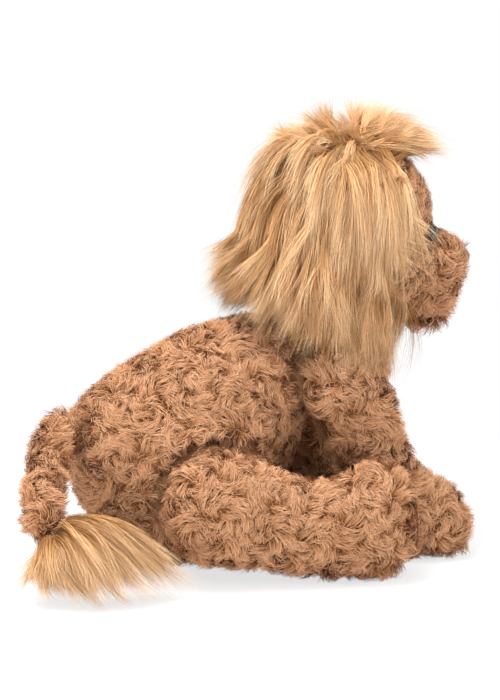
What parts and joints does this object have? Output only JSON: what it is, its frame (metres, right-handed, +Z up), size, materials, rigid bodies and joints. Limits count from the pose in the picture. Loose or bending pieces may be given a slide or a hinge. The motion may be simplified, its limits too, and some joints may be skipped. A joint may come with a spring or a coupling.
{
  "type": "plush lion",
  "caption": "Sitting plush lion with a long pile mane, forelegs set down, hind legs stretched forward and a tufted tail round its side.",
  "frame": {"origin": "middle of the flat patch that the rump rests on, on the floor and in the symmetry plane", "axes": "+Z up, the lion faces -Y, its right side is at -X"},
  "size_m": [0.2486, 0.3534, 0.3138],
  "materials": {
    "curly_plush": "short curly pile plush",
    "long_pile": "long straight pile plush",
    "sole_plush": "short pile plush",
    "stuffing": "polyester fibre filling",
    "bead_pouch": "woven pouch filled with plastic beads",
    "eye_plastic": "polished",
    "washer_plastic": "moulded",
    "nose_thread": "embroidered thread"
  },
  "bodies": {
    "torso": {"torso_cover": "curly_plush", "torso_stuffing": "stuffing", "bead_pouch": "bead_pouch"},
    "neck": {"neck_filling": "stuffing"},
    "head": {"head_cover": "curly_plush", "head_stuffing": "stuffing", "eye_left": "eye_plastic", "eye_right": "eye_plastic", "eye_washer_left": "washer_plastic", "eye_washer_right": "washer_plastic", "nose": "nose_thread", "mouth_stitch": "nose_thread", "ear_left": "curly_plush", "ear_right": "curly_plush", "mane_crown": "long_pile", "mane_left": "long_pile", "mane_right": "long_pile", "mane_back": "long_pile"},
    "foreleg_left": {"foreleg_left_cover": "curly_plush", "foreleg_left_stuffing": "stuffing"},
    "foreleg_right": {"foreleg_right_cover": "curly_plush", "foreleg_right_stuffing": "stuffing"},
    "hind_leg_left": {"hind_leg_left_cover": "curly_plush", "hind_leg_left_stuffing": "stuffing", "hind_sole_left": "sole_plush"},
    "hind_leg_right": {"hind_leg_right_cover": "curly_plush", "hind_leg_right_stuffing": "stuffing", "hind_sole_right": "sole_plush"},
    "tail": {"tail_cover": "curly_plush", "tail_stuffing": "stuffing", "tail_tuft": "long_pile"}
  },
  "joints": [
    {"name": "head_turn", "type": "hinge", "parent": "torso", "child": "neck", "pos_m": [0, -0.098, 0.188], "axis": [0, 0, 1], "range_deg": [-25, 25]},
    {"name": "head_nod", "type": "hinge", "parent": "neck", "child": "head", "pos_m": [0, -0.098, 0.188], "axis": [1, 0, 0], "range_deg": [-12, 12], "deforming": ["mane_crown", "mane_left", "mane_right", "mane_back"]},
    {"name": "shoulder_left", "type": "hinge", "parent": "torso", "child": "foreleg_left", "pos_m": [0.026, -0.09, 0.134], "axis": [1, 0, 0], "range_deg": [-25, 0]},
    {"name": "shoulder_right", "type": "hinge", "parent": "torso", "child": "foreleg_right", "pos_m": [-0.026, -0.09, 0.134], "axis": [1, 0, 0], "range_deg": [-25, 0]},
    {"name": "hip_left", "type": "hinge", "parent": "torso", "child": "hind_leg_left", "pos_m": [0.048, 0.008, 0.052], "axis": [1, 0, 0], "range_deg": [-15, 0]},
    {"name": "hip_right", "type": "hinge", "parent": "torso", "child": "hind_leg_right", "pos_m": [-0.048, 0.008, 0.052], "axis": [1, 0, 0], "range_deg": [-15, 0]},
    {"name": "tail_swing", "type": "hinge", "parent": "torso", "child": "tail", "pos_m": [0, 0.097, 0.1], "axis": [0, 0, 1], "range_deg": [-35, 0]}
  ]
}
